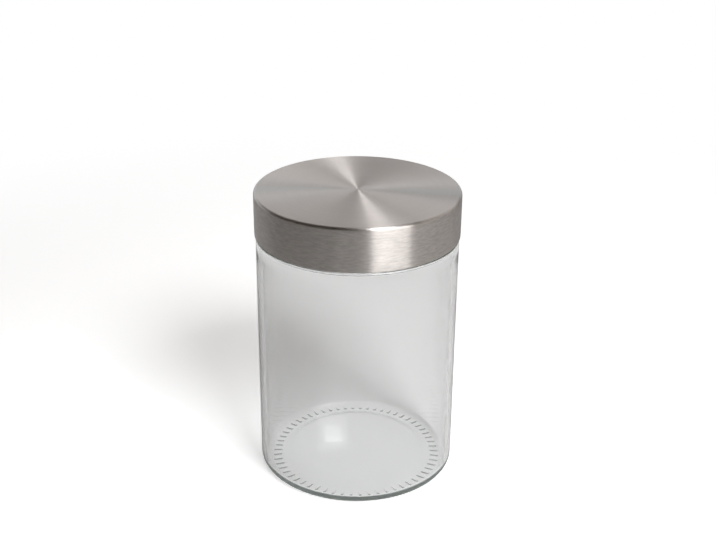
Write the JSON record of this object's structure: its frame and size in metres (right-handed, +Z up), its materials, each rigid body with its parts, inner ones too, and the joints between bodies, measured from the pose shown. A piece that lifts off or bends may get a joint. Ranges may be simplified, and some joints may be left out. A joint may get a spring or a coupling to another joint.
{
  "type": "glass storage jar with screw lid",
  "caption": "Round clear glass storage jar with a knurled base ring, a threaded neck and a flat brushed steel screw lid with a plastic liner and seal ring.",
  "frame": {"origin": "centre of the base, on the plane that the base knurls stand on", "axes": "+Z up along the jar's axis, from the base to the lid"},
  "size_m": [0.104, 0.104, 0.152],
  "materials": {
    "clear_glass": "clear soda-lime container glass with a faint green edge tint, fire-polished smooth",
    "brushed_steel": "stainless steel, brushed in circles on the top and around the side",
    "white_plastic": "moulded polypropylene, satin",
    "seal_rubber": "soft translucent white seal rubber, matt"
  },
  "bodies": {
    "jar": {"glass_jar": "clear_glass"},
    "seal": {"seal_ring": "seal_rubber"},
    "lid": {"lid_shell": "brushed_steel", "lid_liner": "white_plastic"}
  },
  "joints": [
    {"name": "lid_lift", "type": "slide", "parent": "jar", "child": "seal", "axis": [0, 0, 1], "range_m": [0, 0.02032]},
    {"name": "lid_turn", "type": "hinge", "parent": "seal", "child": "lid", "pos_m": [0, 0, 0.14708], "axis": [0, 0, 1], "range_deg": [0, 1440]}
  ],
  "couplings": [
    {"joint": "lid_lift", "follows": "lid_turn", "m_per_rad": 0.00080851}
  ]
}
